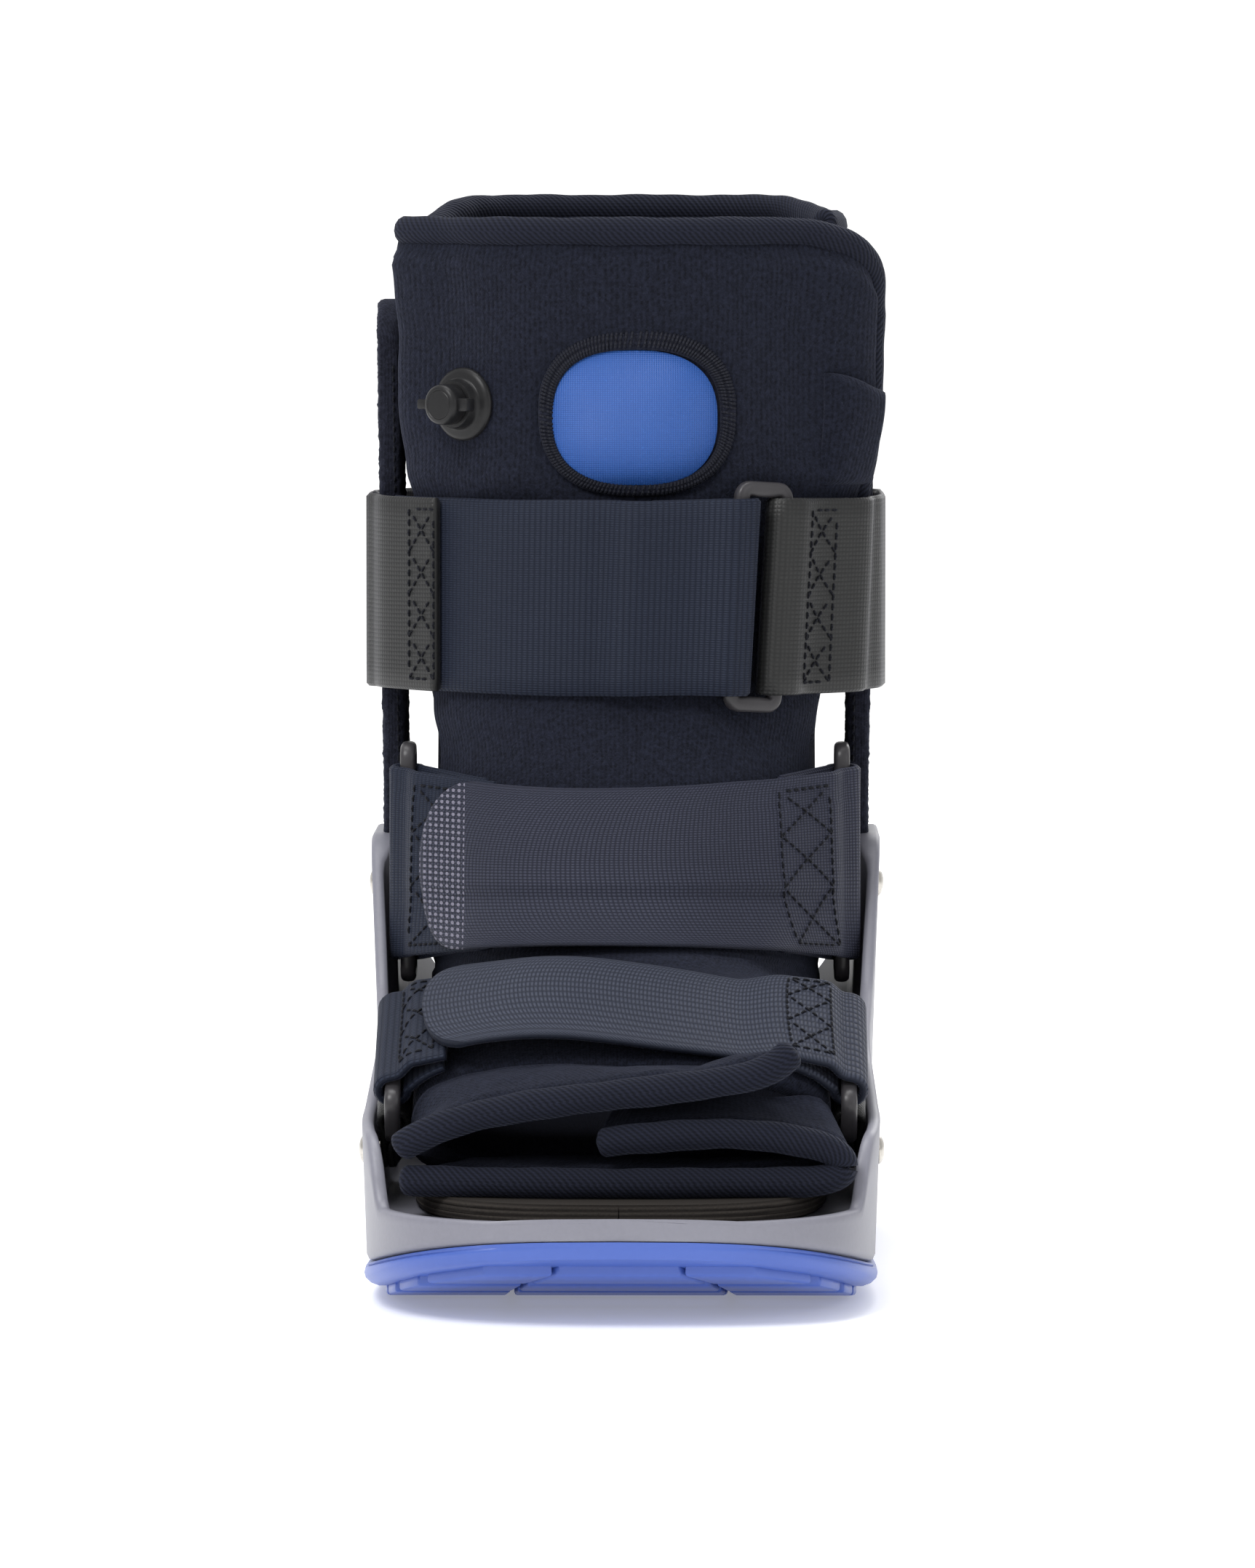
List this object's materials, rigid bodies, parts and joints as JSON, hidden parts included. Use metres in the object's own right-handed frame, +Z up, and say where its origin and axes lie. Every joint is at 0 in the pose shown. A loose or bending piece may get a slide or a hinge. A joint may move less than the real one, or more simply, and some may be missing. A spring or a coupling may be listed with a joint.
{
  "type": "medical walking boot",
  "caption": "Short walking boot with a rocker sole, a hard shell with side uprights, a padded wrap liner, an air window with a valve, and strap closures through rings.",
  "frame": {"origin": "on the floor, under the middle of the sole's flat part", "axes": "+Z up out of the boot's mouth, -Y towards the toe, +X towards the side of the flap's free edge"},
  "size_m": [0.1352, 0.288, 0.2747],
  "materials": {
    "liner": "dark navy ribbed velour",
    "binding": "dark twill binding",
    "window": "blue knit cloth, domed",
    "strap": "navy woven strap",
    "webbing": "grey coated webbing",
    "loop_cover": "black loop cloth",
    "outsole": "blue rubber, satin",
    "shell": "grey moulded plastic",
    "foam": "layered foam, matte",
    "fitting": "dark grey plastic",
    "rivet": "plain domed steel"
  },
  "bodies": {
    "root": {"liner_foot": "liner", "liner_leg": "liner", "front_flap": "liner", "side_panel": "liner", "toe_wrap_left": "liner", "toe_wrap_right": "liner", "collar_binding_front": "binding", "collar_binding_back": "binding", "flap_edge_binding": "binding", "toe_binding_left": "binding", "toe_binding_right": "binding", "air_window": "window", "ankle_strap_tab": "strap", "ankle_strap_over": "strap", "foot_strap_tab": "strap", "foot_strap_over": "strap", "leg_strap_front": "strap", "leg_strap_back": "webbing", "ankle_anchor_left": "webbing", "ankle_anchor_right": "webbing", "foot_anchor_left": "webbing", "foot_anchor_right": "webbing", "upright_left": "loop_cover", "upright_right": "loop_cover", "outsole": "outsole", "base_shell": "shell", "insole_foam": "foam", "valve_flange": "fitting", "leg_buckle": "fitting", "ankle_ring_left": "fitting", "ankle_ring_right": "fitting", "foot_ring_left": "fitting", "foot_ring_right": "fitting", "ankle_rivet_left": "rivet", "ankle_rivet_right": "rivet", "foot_rivet_left": "rivet", "foot_rivet_right": "rivet"},
    "valve_cap": {"valve_cap": "fitting"}
  },
  "joints": [
    {"name": "valve_turn", "type": "hinge", "parent": "root", "child": "valve_cap", "pos_m": [-0.041, 0.00808, 0.2195], "axis": [-0.6276, -0.7786, 0], "range_deg": [0, 90]}
  ]
}
